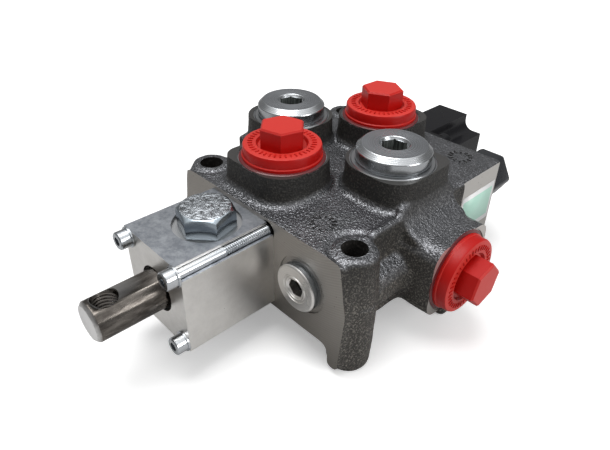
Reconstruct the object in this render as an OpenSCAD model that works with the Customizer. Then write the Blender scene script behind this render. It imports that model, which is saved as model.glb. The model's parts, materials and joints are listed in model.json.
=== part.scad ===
// Manual directional control valve: a one-piece casting with one spool,
// an end block that holds the ball detent, and plugs in every port.
// X is across the valve, Y runs along the spool towards its covered end and Z is up.
// The origin lies midway between the two front mounting holes, on the plane of the feet.

/* [Casting] */
// Distance between the two front mounting holes
mount_pitch = 102; // [96:1:112]
// Distance from the front holes back to the third mounting hole
mount_depth = 104; // [98:1:106]
// Diameter of the mounting holes
mount_hole_d = 12; // [9:0.5:13]
// Outer radius of the mounting columns
column_r = 10; // [9:0.5:11.5]
// Distance from the front machined face back to the front mounting holes
front_margin = 13; // [12:0.5:15]
// Length of the casting between its machined end faces
body_len = 130; // [126:1:150]
// Height of the feet under the casting
foot_h = 15; // [12:0.5:18]
// Height of the casting without its feet and bosses
body_h = 50.5; // [48:0.5:56]
// Concave fillet at the foot of each boss
blend_r = 6; // [3:0.5:7]

/* [Spool line] */
// Distance of the spool axis to the left of the middle of the casting
spool_offset = 9; // [7:0.5:11]
// Height of the spool axis above the feet
spool_z = 41; // [39:0.5:43]
// Diameter of the spool
spool_d = 19; // [17:0.5:20]
// Radial running clearance of the spool
spool_fit = 0.03; // [0.02:0.01:0.08]
// Travel of the spool from neutral to each side
stroke = 7; // [5:0.5:8]
// Length of spool end in front of the end block
tang_len = 32.5; // [26:0.5:40]
// Diameter of the threaded cross hole in the spool end
eye_d = 10.2; // [8:0.2:12]
// Distance of the cross hole from the tip of the spool
eye_back = 9; // [8:0.5:12]

/* [Ports] */
// Distance between service ports A and B along the spool
service_pitch = 74; // [70:1:80]
// Distance of the service ports to the left of the spool axis
service_offset = 2.5; // [0:0.5:4]
// Distance between the two ports across the spool
line_pitch = 73; // [70:1:78]
// Height of the port bosses above the casting
boss_h = 14.5; // [12:0.5:18]
// Width of a square port boss
boss_w = 43; // [42.5:0.5:44]
// Corner radius of a port boss
boss_r = 14; // [10:0.5:16]
// Diameter of the tapped port holes
port_d = 25; // [22:0.5:27]
// Depth of the tapped port holes
port_depth = 19; // [16:0.5:22]
// Diameter of the flow passages
passage_d = 17; // [14:0.5:18]
// Distance from the spool axis to the face of the side boss on the right
pump_reach = 81.5; // [78:0.5:86]
// Distance from the spool axis to the face of the side boss on the left
tank_reach = 58; // [57:0.5:62]
// Height of the side ports above the feet
side_port_z = 38; // [37:0.5:39]
// Height of the side bosses
side_boss_h = 39; // [38:0.5:42]

/* [Detent housing] */
// Side of the square block on the front face
block_w = 45; // [44:0.5:50]
// Length of the block along the spool
block_len = 49; // [46:1:56]
// Distance of the block screws from the sides of the block
screw_edge = 4; // [3.6:0.1:4.4]
// Diameter of the block screws
screw_d = 5; // [4:0.5:5]
// Thread length of the block screws in the casting
screw_grip = 10; // [8:1:12]
// Thickness of the washers
washer_t = 1; // [0.8:0.1:1.2]
// Width of the step along the right upper edge of the block
step_w = 4.5; // [4:0.5:5]
// Depth of that step
step_h = 5; // [4:0.5:6]
// Distance from the casting to the axis of the detent bolt
detent_back = 20; // [19:0.5:24]
// Diameter of the detent bolt
bolt_d = 16; // [14:1:18]
// Width across the flats of its head
bolt_af = 24; // [22:1:26]
// Height of its head
bolt_head_h = 10; // [9:0.5:12]
// Diameter of the detent ball
ball_d = 8; // [7:0.5:9]

/* [Plugs] */
// Diameter of the flange of a shipping plug
cap_flange_d = 39.8; // [38:0.2:40.4]
// Height of that flange
cap_flange_h = 7.7; // [6:0.1:9]
// Width across the flats of a shipping plug
cap_af = 20; // [18:0.5:22]
// Height of its hexagon
cap_hex_h = 9; // [7:0.5:12]
// Diameter of a steel port plug
plug_d = 37; // [35:0.5:40]
// Height of a steel port plug above its seat
plug_h = 9.3; // [7:0.1:10]
// Chamfer of a steel port plug
plug_chamfer = 2.5; // [1.5:0.1:3]
// Width across the flats of its socket
plug_af = 12; // [10:1:14]

/* [Cavity] */
// Distance of the check and relief cavity to the right of the spool axis
cavity_offset = 41.5; // [40:0.5:43]
// Diameter of the front part of the cavity
cavity_d = 20; // [18:0.5:20]
// Diameter of the head of the front plug
cavity_plug_d = 24; // [22:0.5:26]
// Height of the head of the front plug
cavity_plug_h = 5; // [4:0.5:6]
// Lift of the load check poppet
check_lift = 4; // [2:0.5:5]
// Lift of the relief poppet
relief_lift = 2; // [1:0.5:3]

/* [Rear] */
// Length of the black cap on the spool axis
rear_cap_len = 46; // [42:1:56]
// Thickness of its flange
rear_flange_t = 6; // [5:0.5:8]
// Width of the corner notches of the cap
notch_w = 12; // [10.5:0.5:12]
// Height of the corner notches of the cap
notch_h = 9.5; // [9.5:0.5:11]
// Length of the black cap over the relief valve
relief_cap_len = 30; // [28:1:36]
// Width across the sides of that cap
relief_cap_w = 24.5; // [24:0.5:26]
// Distance of the label from the rear face
label_edge = 1.5; // [1:0.5:4]
// Distance of the label from the side boss
label_gap = 10.5; // [7:0.5:14]
// Height of the label
label_h = 24; // [18:1:26]
// Distance of the label from the top of the casting
label_drop = 11; // [8:0.5:13]

/* [Hidden] */
$fn = 64;

// Gap between fixed pieces that thread or slip into each other
slip = 0.1;
// Overlap of joined shapes of one piece
lap = 0.4;
// Length by which a cutter passes the face that it opens
past = 1;

front_y = -front_margin;
rear_y = front_y + body_len;
mid_y = front_y + body_len / 2;
half_pitch = mount_pitch / 2;
top_z = foot_h + body_h;
boss_top = top_z + boss_h;
spool_x = -spool_offset;
spool_r = spool_d / 2;
port_x = spool_x - service_offset;
cavity_x = spool_x + cavity_offset;
cavity_seal_t = 2;
pump_x = spool_x + pump_reach;
tank_x = spool_x - tank_reach;

// Spot faces on which the plugs seat
seat_depth = 0.7;
seat_d = cap_flange_d + 1.2;
seat_z = boss_top - seat_depth;
cap_step_h = 2.2;
cap_moat = 1.4;

// Casting
side_wall_x = half_pitch + 0.5;
ear_corner = 4.5;
ear_inner = 0.3;
tank_wall_top = top_z - 0.5;
hump_r = 12;
hump_x = half_pitch - 7;
hump_z = side_port_z + 1;
hump_y = front_y + 27;
side_foot_d = 10;
side_foot_back = 9;
column_rim = 2;
core_d = spool_d + 9;
core_w = 7;
core_top = spool_z + core_d / 2 - 2;
seal_t = 5;
tank_core_back = seal_t + stroke + core_w / 2 + 0.5;
seat_wall = 12;
cavity_seat_y = mid_y - seat_wall;
relief_seat_y = mid_y + seat_wall;

// Block and its screws
screw_pitch = block_w - 2 * screw_edge;
block_front = front_y - block_len;
detent_y = front_y - detent_back;
block_top = spool_z + block_w / 2;
screw_head_d = screw_d * 1.7;
screw_clear_d = screw_d + 0.5;
washer_d = screw_d * 2;
bolt_spot_d = 32;
bolt_spot_depth = 1.5;
bolt_seat_z = block_top - bolt_spot_depth;
ball_bore_d = ball_d + 0.2;
ball_ride = 0.03;
ball_z = spool_z + spool_r + ball_ride + ball_d / 2;
bolt_tip_z = spool_z + spool_r + 1.5;
bolt_bore_top = bolt_seat_z + bolt_head_h - 3.5;
groove_w = ball_d * 0.6;
groove_depth = groove_w / 2;
wiper_d = spool_d + 3.6;
wiper_recess = 3;
wiper_t = 4;
seal_d = spool_d + 7;

// Spool
tip_y = block_front - tang_len;
eye_y = tip_y + eye_back;
tail_len = 18;
neck_d = spool_d - 7;
tip_chamfer = 1.5;

// Load check: seat clearance, nose, length, and the plug's inner end that stops it
check_gap = 0.05;
check_nose = 5;
check_len = 22;
check_stop_y = cavity_seat_y - check_gap - check_len - check_lift - 0.3;
check_nest = 7;
check_spring_back = check_stop_y - check_nest;

// Relief valve
relief_gap = 0.05;
cartridge_nose = 4;
relief_poppet_y = relief_seat_y + cartridge_nose + relief_gap;
relief_poppet_t = 4;
relief_stem_y = rear_y - 8;
relief_head_d = cavity_d + 6;
relief_head_t = 4;
relief_seal_t = 2.5;
relief_bore_d = 13;
adjuster_d = 10;
adjuster_len = 28;
adjuster_af = 5;
locknut_af = 16;
locknut_h = 5;
relief_cap_bore = locknut_af / cos(30) + 0.5;

// Rear
cap_end_wall = 6;
cap_bore_d = spool_d + 9;
notch_round = 6;
label_t = 0.3;

// Angle from the line to a circle's centre to its tangent, seen from a point at distance d
function tangent_angle(r, d) = asin(r / d);

// Turns a shape drawn upwards so that it runs along +Y
module along_y() { rotate([-90, 0, 0]) children(); }

// Turns a shape drawn upwards so that it runs along +X
module along_x() { rotate([90, 0, 90]) children(); }

// Repeats its children at the four corners of a square
module at_corners(pitch) {
    for (x = [-1, 1], y = [-1, 1]) translate([x * pitch / 2, y * pitch / 2]) children();
}

// Rectangle with round corners
module round_rect(w, h, r) {
    square([w - 2 * r, h], center = true);
    square([w, h - 2 * r], center = true);
    for (x = [-1, 1], y = [-1, 1]) translate([x * (w / 2 - r), y * (h / 2 - r)]) circle(r);
}

// Hexagonal prism by its width across flats
module hex_prism(af, h) { cylinder(d = af / cos(30), h = h, $fn = 6); }

// Hexagonal head with the round chamfer of a turned bar
module hex_head(af, h, chamfer) {
    intersection() {
        rotate(30) hex_prism(af, h);
        rotate_extrude() polygon([
            [0, 0], [af / cos(30) / 2, 0], [af / cos(30) / 2, h - chamfer],
            [af / 2 - 0.3, h], [0, h]
        ]);
    }
}

// Cylinder with a chamfer round its far end
module chamfered(d, h, c) {
    rotate_extrude() polygon([[0, 0], [d / 2, 0], [d / 2, h - c], [d / 2 - c, h], [0, h]]);
}

// Cylinder with a long chamfer round its near end
module chamfered_tip(r, h) {
    rotate_extrude() polygon([[0, 0], [r / 2, 0], [r, r / 2], [r, h], [0, h]]);
}

// Ring of rectangular section
module ring(outer_d, inner_d, h) {
    rotate_extrude() translate([inner_d / 2, 0]) square([(outer_d - inner_d) / 2, h]);
}

// Point of a coil spring's wire: turn number along the coil, angle round the wire
function coil_point(mean_d, wire_d, h, turns, t, a) =
    let (r = mean_d / 2 + wire_d / 2 * cos(a), z = wire_d / 2 + (h - wire_d) * t / turns)
    [r * cos(360 * t), r * sin(360 * t), z + wire_d / 2 * sin(a)];

// Coil spring standing on its lower end, swept round its wire
module coil_spring(mean_d, wire_d, h, turns) {
    sides = 8;
    steps = 16 * turns;
    faces = concat(
        [[for (k = [0 : sides - 1]) k]],
        [[for (k = [sides - 1 : -1 : 0]) steps * sides + k]],
        [for (i = [0 : steps - 1], k = [0 : sides - 1])
            let (n = (k + 1) % sides)
            [i * sides + k, (i + 1) * sides + k, (i + 1) * sides + n, i * sides + n]]
    );
    polyhedron([
        for (i = [0 : steps], k = [0 : sides - 1])
            coil_point(mean_d, wire_d, h, turns, i / 16, k * 360 / sides)
    ], faces, convexity = 10);
}

// Places of the four top ports
module at_service_ports() {
    for (s = [-1, 1]) translate([port_x, mid_y + s * service_pitch / 2, 0]) children();
}
module at_line_ports() {
    for (s = [-1, 1]) translate([spool_x + s * line_pitch / 2, mid_y, 0]) children();
}

// Plan of the web that joins a front column to the machined front face
module ear_plan() {
    corner = [half_pitch + ear_corner, front_y];
    inner_r = column_r - 0.2;
    reach = norm(corner - [half_pitch, 0]);
    base = atan2(corner[1], corner[0] - half_pitch);
    side = base + 90 - tangent_angle(inner_r, reach);
    polygon([
        corner, [half_pitch + inner_r * cos(side), inner_r * sin(side)], [half_pitch, 0],
        [half_pitch - column_r * 0.85, -column_r * 0.4], [half_pitch - ear_inner, front_y]
    ]);
}

// Outer form of the casting, before machining
module casting() {
    translate([-side_wall_x, front_y, foot_h]) cube([2 * side_wall_x, body_len, body_h]);
    for (s = [0, 1]) mirror([s, 0, 0]) linear_extrude(height = top_z - 1) ear_plan();
    for (p = [[-half_pitch, 0], [half_pitch, 0], [-half_pitch, mount_depth]])
        translate(p) chamfered(2 * column_r, top_z, column_rim);
    at_service_ports() port_boss();
    at_line_ports() port_boss();
    // Side boss of the pump port, with the pad that it stands on
    translate([side_wall_x - past, mid_y, side_port_z]) along_x()
        linear_extrude(height = pump_x - side_wall_x + past) round_rect(boss_w, side_boss_h, 5);
    translate([pump_x - side_foot_back, mid_y + side_foot_back, 0])
        cylinder(d = side_foot_d, h = side_port_z - boss_w / 4);
    hull() {
        translate([side_wall_x - past, mid_y, side_port_z + 1]) along_x()
            linear_extrude(height = 0.5) round_rect(boss_w + 2 * blend_r, side_boss_h + blend_r, 7);
        translate([side_wall_x + blend_r, mid_y, side_port_z]) along_x()
            linear_extrude(height = 0.5) round_rect(boss_w - 2, side_boss_h - 2, 5);
    }
    // Swelling over the check cavity, in front of the side boss
    translate([hump_x, hump_y, hump_z]) along_y() chamfered_tip(hump_r, mid_y - hump_y);
    // Block of the tank port, which carries the overhanging top boss too
    translate([tank_x, mid_y, foot_h + 3.5]) translate([0, -boss_w / 2 + 0.5, 0])
        cube([-side_wall_x - tank_x + past, boss_w - 1, tank_wall_top - foot_h - 3.5]);
}

// Boss of a top port with the cone round its foot
module port_boss() {
    translate([0, 0, top_z - past]) linear_extrude(height = boss_h + past) round_rect(boss_w, boss_w, boss_r);
    translate([0, 0, top_z - past])
        cylinder(r1 = boss_w / 2 + blend_r + past, r2 = boss_w / 2 - past, h = blend_r + 2 * past);
}

// Spot face and tapped hole of a port, cut downwards from its boss face
module port_cut() {
    translate([0, 0, -seat_depth]) cylinder(d = seat_d, h = seat_depth + past);
    translate([0, 0, -port_depth]) cylinder(d = port_d, h = port_depth);
}

module valve_body() {
    color("#2b2a2a") difference() {
        casting();
        // Mounting holes
        for (p = [[-half_pitch, 0], [half_pitch, 0], [-half_pitch, mount_depth]])
            translate([p[0], p[1], -past]) cylinder(d = mount_hole_d, h = top_z + 2 * past);
        // Spool bore with its cores and seal seats
        translate([spool_x, front_y - past, spool_z]) along_y()
            cylinder(r = spool_r + spool_fit, h = body_len + 2 * past);
        for (y = [front_y + tank_core_back, mid_y - service_pitch / 2, mid_y, mid_y + service_pitch / 2,
                  rear_y - tank_core_back])
            translate([spool_x, y - core_w / 2, spool_z]) along_y() cylinder(d = core_d, h = core_w);
        translate([spool_x, front_y - past, spool_z]) along_y() cylinder(d = seal_d, h = seal_t + past);
        translate([spool_x, rear_y - seal_t, spool_z]) along_y() cylinder(d = seal_d, h = seal_t + past);
        // Service ports, down to their cores
        at_service_ports() {
            translate([0, 0, boss_top]) port_cut();
            translate([0, 0, core_top]) cylinder(d = passage_d, h = boss_top - core_top - port_depth + past);
        }
        // Top ports of pump and tank
        at_line_ports() {
            translate([0, 0, boss_top]) port_cut();
            translate([0, 0, side_port_z - 5])
                cylinder(d = passage_d, h = boss_top - side_port_z - port_depth + 5 + past);
        }
        // Side ports, with the pump passage to the spool
        translate([pump_x, mid_y, side_port_z]) rotate([0, 90, 0]) port_cut();
        translate([spool_x + core_d / 2 - 2, mid_y, side_port_z]) rotate([0, 90, 0])
            cylinder(d = passage_d * 0.5, h = pump_reach - core_d / 2 + 2 - port_depth + past);
        translate([spool_x + line_pitch / 2 - 3, mid_y, side_port_z]) rotate([0, 90, 0])
            cylinder(d = passage_d - 2, h = pump_reach - line_pitch / 2 + 3 - port_depth + past);
        translate([tank_x, mid_y, side_port_z]) rotate([0, -90, 0]) port_cut();

        // Cavity of the load check at the front and of the relief valve at the rear
        translate([cavity_x, front_y - past, spool_z]) along_y()
            cylinder(d = cavity_plug_d + 5, h = seat_depth + past);
        translate([cavity_x, front_y, spool_z]) along_y() cylinder(d = cavity_d, h = cavity_seat_y - front_y);
        translate([cavity_x, cavity_seat_y - past, spool_z]) along_y()
            cylinder(d = cavity_d * 0.6, h = relief_seat_y - cavity_seat_y + 2 * past);
        translate([cavity_x, relief_seat_y, spool_z]) along_y()
            cylinder(d = cavity_d, h = rear_y - relief_seat_y + past);
        translate([cavity_x, rear_y - relief_seal_t, spool_z]) along_y()
            cylinder(d = cavity_d + 5, h = relief_seal_t + past);
        // Tapped holes of the block and cap screws
        for (y = [front_y - past, rear_y - screw_grip - 1])
            translate([spool_x, y, spool_z]) along_y() at_corners(screw_pitch)
                cylinder(d = screw_d + slip, h = screw_grip + 1 + past);
    }
}

// Turned profile of the spool, drawn from its tip
module spool() {
    a = mid_y - service_pitch / 2;
    b = mid_y + service_pitch / 2;
    land = core_w + 2 * spool_fit + 3;
    tail = rear_y + tail_len;
    core = (core_w + 1) / 2;
    necks = [
        [front_y + tank_core_back - core, a - land / 2],
        [a + land / 2, mid_y - land / 2],
        [mid_y + land / 2, b - land / 2],
        [b + land / 2, rear_y - tank_core_back + core]
    ];
    grooves = [for (s = [-1, 0, 1]) detent_y + s * stroke];
    color("#6e665c") difference() {
        translate([spool_x, 0, spool_z]) along_y() rotate_extrude() polygon([
            [0, tip_y], [spool_r - tip_chamfer, tip_y], [spool_r, tip_y + tip_chamfer],
            for (g = grooves) each [
                [spool_r, g - groove_w / 2], [spool_r - groove_depth, g], [spool_r, g + groove_w / 2]
            ],
            for (n = necks) each [
                [spool_r, n[0]], [neck_d / 2, n[0]], [neck_d / 2, n[1]], [spool_r, n[1]]
            ],
            [spool_r, tail - 1], [spool_r - 1, tail], [0, tail]
        ]);
        // Threaded cross hole for the lever's joint
        translate([spool_x, eye_y, spool_z - spool_d]) cylinder(d = eye_d, h = 2 * spool_d);
        // Metering notches at the edges of the pump land
        for (y = [necks[1][1], necks[2][0]], k = [0 : 3])
            translate([spool_x, y, spool_z]) rotate([0, k * 90 + 45, 0])
                translate([0, 0, spool_r - 1.2]) cylinder(d = 4.4, h = 3);
    }
}

// Aluminium block round the front of the spool
module detent_housing() {
    color("#b9b6ae") difference() {
        translate([spool_x, block_front, spool_z]) along_y() linear_extrude(height = block_len) difference() {
            square(block_w, center = true);
            translate([block_w / 2 - step_w, -block_w / 2 - past]) square([step_w + past, step_h + past]);
            translate([screw_pitch / 2, -screw_pitch / 2]) circle(d = screw_clear_d);
        }
        // Holes of the other three screws
        translate([spool_x, block_front - past, spool_z]) along_y() at_corners(screw_pitch)
            cylinder(d = screw_clear_d, h = block_len + 2 * past);
        // Bore of the spool and seat of the wiper
        translate([spool_x, block_front - past, spool_z]) along_y()
            cylinder(r = spool_r + spool_fit, h = block_len + 2 * past);
        translate([spool_x, block_front - past, spool_z]) along_y()
            cylinder(d = wiper_d, h = wiper_recess + wiper_t + past);
        // Spot face and bore of the detent bolt
        translate([spool_x, detent_y, bolt_seat_z]) cylinder(d = bolt_spot_d, h = bolt_spot_depth + past);
        translate([spool_x, detent_y, bolt_tip_z - slip]) cylinder(d = bolt_d + 2 * slip, h = block_top - bolt_tip_z);
        translate([spool_x, detent_y, spool_z]) cylinder(d = ball_bore_d, h = block_w / 2);
    }
}

// Socket head screw, with its head's seat at z = 0 and its shank below
module socket_screw(d, length) {
    difference() {
        union() {
            chamfered(d * 1.7, d, 0.5);
            translate([0, 0, -length]) cylinder(d = d, h = length + lap);
        }
        translate([0, 0, d * 0.45]) hex_prism(d * 0.8, d);
    }
}

module block_screws() {
    color("#c3c6c8") translate([spool_x, block_front - washer_t, spool_z]) rotate([90, 0, 0])
        at_corners(screw_pitch) socket_screw(screw_d, washer_t + block_len + screw_grip);
}

module block_washers() {
    color("#a9acae") translate([spool_x, block_front, spool_z]) rotate([90, 0, 0])
        at_corners(screw_pitch) ring(washer_d, screw_d + slip * 2, washer_t);
}

// Hollow bolt over the detent spring
module detent_bolt() {
    color("#aab3b8") translate([spool_x, detent_y, 0]) difference() {
        union() {
            translate([0, 0, bolt_seat_z]) rotate(13.5) hex_head(bolt_af, bolt_head_h, 2.2);
            translate([0, 0, bolt_tip_z]) cylinder(d = bolt_d, h = bolt_seat_z - bolt_tip_z + lap);
        }
        translate([0, 0, bolt_tip_z - past]) cylinder(d = ball_bore_d, h = bolt_bore_top - bolt_tip_z + past);
    }
}

module detent_ball() {
    color("silver") translate([spool_x, detent_y, ball_z]) sphere(d = ball_d);
}

module detent_spring() {
    color("#8d9296") translate([spool_x, detent_y, ball_z + ball_d / 2 - 0.6])
        coil_spring(ball_d - 1.8, 1.3, bolt_bore_top - ball_z - ball_d / 2 + 0.6, 4);
}

module wiper_seal() {
    color("#1c1c1c") translate([spool_x, block_front + wiper_recess, spool_z]) along_y()
        ring(wiper_d, spool_d + 2 * spool_fit, wiper_t);
}

module front_spool_seal() {
    color("#1c1c1c") translate([spool_x, front_y, spool_z]) along_y()
        ring(seal_d, spool_d + 2 * spool_fit, seal_t);
}

module rear_spool_seal() {
    color("#1c1c1c") translate([spool_x, rear_y - seal_t, spool_z]) along_y()
        ring(seal_d, spool_d + 2 * spool_fit, seal_t);
}

// Plastic shipping plug, with its flange's seat at z = 0
module shipping_plug() {
    r = cap_flange_d / 2;
    moat = cap_af / cos(30) + 2.4;
    color("#cc1f1a") difference() {
        union() {
            rotate_extrude() polygon([
                [0, 0], [r, 0], [r, cap_step_h], [r - 0.5, cap_step_h + 0.5], [r - 0.5, cap_flange_h - 1.2],
                [r - 0.9, cap_flange_h - 0.3], [r - 1.7, cap_flange_h],
                [moat / 2, cap_flange_h], [moat / 2 - 1, cap_flange_h - cap_moat], [0, cap_flange_h - cap_moat]
            ]);
            translate([0, 0, cap_flange_h - cap_moat - lap]) hex_prism(cap_af, cap_hex_h + cap_moat + lap - 0.8);
            translate([0, 0, cap_flange_h + cap_hex_h - 0.8 - lap / 4])
                cylinder(d1 = cap_af / cos(30), d2 = (cap_af - 1.6) / cos(30), h = 0.8 + lap / 4, $fn = 6);
            translate([0, 0, -port_depth + 6]) cylinder(d = port_d - 2 * slip, h = port_depth - 6 + lap);
        }
        translate([0, 0, -port_depth]) cylinder(d = port_d - 6, h = port_depth - 1);
    }
}

module red_plug_a() { translate([port_x, mid_y - service_pitch / 2, seat_z]) rotate(15) shipping_plug(); }
module red_plug_b() { translate([port_x, mid_y + service_pitch / 2, seat_z]) rotate(28) shipping_plug(); }
module red_plug_pump() {
    translate([pump_x - seat_depth, mid_y, side_port_z]) rotate([0, 90, 0]) rotate(44) shipping_plug();
}
module red_plug_tank() {
    translate([tank_x + seat_depth, mid_y, side_port_z]) rotate([0, -90, 0]) shipping_plug();
}

// Steel port plug with a groove for its seal ring under the head
seal_neck_h = 2.4;
module steel_plug() {
    r = plug_d / 2;
    shank = port_d / 2 - slip;
    color("#9aa0a4") difference() {
        rotate_extrude() polygon([
            [0, -12], [shank - 1, -12], [shank, -11], [shank, -seal_neck_h], [shank - 2, -seal_neck_h],
            [shank - 2, 0], [r - 1, 0], [r - 1, 0.8], [r, 1.2], [r, plug_h - plug_chamfer],
            [r - plug_chamfer, plug_h], [plug_af / 2 + 1.8, plug_h], [plug_af / 2 + 0.6, plug_h - 1.4],
            [0, plug_h - 1.4]
        ]);
        translate([0, 0, plug_h - 8]) hex_prism(plug_af, 8);
    }
}

module steel_plug_pump() { translate([spool_x + line_pitch / 2, mid_y, seat_z]) rotate(20) steel_plug(); }
module steel_plug_tank() { translate([spool_x - line_pitch / 2, mid_y, seat_z]) rotate(50) steel_plug(); }

module steel_plug_seals() {
    color("#1c1c1c") at_line_ports() translate([0, 0, seat_z - seal_neck_h])
        ring(port_d - slip, port_d - 4 - slip, seal_neck_h);
}

// Plug of the check cavity in the front face
module cavity_plug() {
    r = cavity_plug_d / 2;
    len = check_stop_y - front_y - seat_depth;
    shank = cavity_d / 2 - slip;
    color("#a4abb0") translate([cavity_x, front_y + seat_depth, spool_z]) rotate([90, 0, 0]) difference() {
        rotate_extrude() polygon([
            [0, -len], [shank, -len], [shank, -cavity_seal_t], [shank - 1.6, -cavity_seal_t], [shank - 1.6, 0],
            [r, 0], [r, cavity_plug_h - 0.8], [r - 0.8, cavity_plug_h],
            [r - 3.2, cavity_plug_h], [r - 3.6, cavity_plug_h - 0.5], [r - 4.2, cavity_plug_h - 0.5],
            [r - 4.6, cavity_plug_h], [0, cavity_plug_h]
        ]);
        translate([0, 0, cavity_plug_h - 5.5]) hex_prism(8, 6);
        translate([0, 0, -len - past]) cylinder(d = 12.4, h = check_nest + past);
    }
}

module cavity_plug_seal() {
    color("#1c1c1c") translate([cavity_x, front_y + seat_depth, spool_z]) along_y()
        ring(cavity_d - slip, cavity_d - 3.2 - 2 * slip, cavity_seal_t);
}

// Load check poppet, closed on its seat in the casting
module check_poppet() {
    r = cavity_d / 2 - check_gap;
    color("#8f9497") translate([cavity_x, cavity_seat_y - check_gap, spool_z]) rotate([90, 0, 0]) difference() {
        rotate_extrude() polygon([
            [0, -4], [cavity_d * 0.3 - 0.6, -4], [cavity_d * 0.3 - 0.6, 0], [r - 1, 0],
            [r, 1], [r, check_len], [0, check_len]
        ]);
        translate([0, 0, check_nose]) cylinder(d = cavity_d - 7, h = check_len);
    }
}

module check_spring() {
    end = cavity_seat_y - check_gap - check_nose;
    color("#8d9296") translate([cavity_x, check_spring_back, spool_z]) along_y()
        coil_spring(cavity_d - 10, 1.4, end - check_spring_back, 6);
}

// Screwed-in body of the relief valve, with its seat towards the pump passage
module relief_cartridge() {
    r = cavity_d / 2 - slip;
    length = rear_y - relief_seat_y;
    color("#9b9f9f") translate([cavity_x, relief_seat_y, spool_z]) along_y() difference() {
        union() {
            cylinder(r = r, h = length + lap);
            translate([0, 0, length]) chamfered(relief_head_d, relief_head_t, 0.8);
        }
        translate([0, 0, -past]) cylinder(d = 7, h = cartridge_nose + 2 * past);
        translate([0, 0, cartridge_nose]) cylinder(d = relief_bore_d, h = length + relief_head_t);
    }
}

module relief_seal() {
    color("#1c1c1c") translate([cavity_x, rear_y - relief_seal_t, spool_z]) along_y()
        ring(cavity_d + 4.8, cavity_d, relief_seal_t);
}

// Cone poppet of the relief valve, with the stem that stops it at full lift
module relief_poppet() {
    r = relief_bore_d / 2 - relief_gap;
    stem = relief_stem_y - relief_poppet_y - relief_lift - 0.3;
    color("#84898c") translate([cavity_x, relief_poppet_y, spool_z]) along_y() rotate_extrude() polygon([
        [0, -2.5], [1.5, -2.5], [3.4, 0], [r, 0], [r, relief_poppet_t],
        [2.5, relief_poppet_t], [2.5, stem], [0, stem]
    ]);
}

module relief_spring() {
    start = relief_poppet_y + relief_poppet_t;
    color("#8d9296") translate([cavity_x, start, spool_z]) along_y()
        coil_spring(relief_bore_d - 4, 2, relief_stem_y - start, 7);
}

// Adjusting screw, threaded into the relief cartridge
module relief_adjuster() {
    color("#a5a9ab") translate([cavity_x, relief_stem_y, spool_z]) along_y() difference() {
        union() {
            cylinder(d = relief_bore_d - 2 * slip, h = rear_y + relief_head_t - relief_stem_y);
            cylinder(d = adjuster_d, h = adjuster_len);
        }
        translate([0, 0, adjuster_len - adjuster_af]) hex_prism(adjuster_af, adjuster_af + past);
    }
}

module relief_locknut() {
    color("#b4b7b8") translate([cavity_x, rear_y + relief_head_t, spool_z]) along_y() difference() {
        hex_head(locknut_af, locknut_h, 0.8);
        translate([0, 0, -past]) cylinder(d = adjuster_d + 2 * slip, h = locknut_h + 2 * past);
    }
}

// Black cap over the relief valve's adjustment
module relief_cap() {
    h = relief_cap_len - relief_head_t;
    color("#151515") translate([cavity_x, rear_y + relief_head_t, spool_z]) along_y() difference() {
        intersection() {
            linear_extrude(height = h) round_rect(relief_cap_w, relief_cap_w, 3);
            chamfered(relief_cap_w * 1.2, h, 2.5);
        }
        translate([0, 0, -past]) cylinder(d = relief_cap_bore, h = h - 2 + past);
        translate([-relief_cap_w, 0, h - 9]) rotate([0, 90, 0]) cylinder(d = 2, h = 2 * relief_cap_w);
    }
}

// Section of the rear cap behind its flange
module notched_square() {
    w = block_w / 2;
    difference() {
        square(block_w, center = true);
        for (x = [0, 1], y = [0, 1]) mirror([x, 0]) mirror([0, y]) {
            translate([w - notch_w + notch_round, w - notch_h]) square([notch_w, notch_h + past]);
            translate([w - notch_w, w - notch_h + notch_round]) square([notch_w + past, notch_h]);
            translate([w - notch_w + notch_round, w - notch_h + notch_round]) circle(notch_round);
        }
    }
}

module rear_cap() {
    color("#17181a") translate([spool_x, rear_y, spool_z]) along_y() difference() {
        union() {
            linear_extrude(height = rear_flange_t) round_rect(block_w, block_w, 2);
            linear_extrude(height = rear_cap_len) notched_square();
        }
        translate([0, 0, -past]) cylinder(d = cap_bore_d, h = rear_cap_len - cap_end_wall + past);
        translate([0, 0, -past]) at_corners(screw_pitch) cylinder(d = screw_clear_d, h = rear_flange_t + 2 * past);
        translate([0, 0, rear_flange_t]) at_corners(screw_pitch) cylinder(d = screw_head_d + 1, h = rear_cap_len);
    }
}

module rear_cap_screws() {
    color("#2a2b2d") translate([spool_x, rear_y + rear_flange_t, spool_z]) along_y()
        at_corners(screw_pitch) socket_screw(screw_d, rear_flange_t + screw_grip);
}

// Blank label on the machined face beside the rear cap
module label() {
    start = mid_y + boss_w / 2 + label_gap;
    color("#bfe6d6") translate([side_wall_x, start, top_z - label_drop - label_h])
        cube([label_t, rear_y - label_edge - start, label_h]);
}

valve_body();
spool();
detent_housing();
block_screws();
block_washers();
detent_bolt();
detent_ball();
detent_spring();
wiper_seal();
front_spool_seal();
rear_spool_seal();
red_plug_a();
red_plug_b();
red_plug_pump();
red_plug_tank();
steel_plug_pump();
steel_plug_tank();
steel_plug_seals();
cavity_plug();
cavity_plug_seal();
check_poppet();
check_spring();
relief_cartridge();
relief_seal();
relief_poppet();
relief_spring();
relief_adjuster();
relief_locknut();
relief_cap();
rear_cap();
rear_cap_screws();
label();
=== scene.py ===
import json
import math
import bmesh
import bpy
from mathutils import Matrix, Vector, noise


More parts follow.
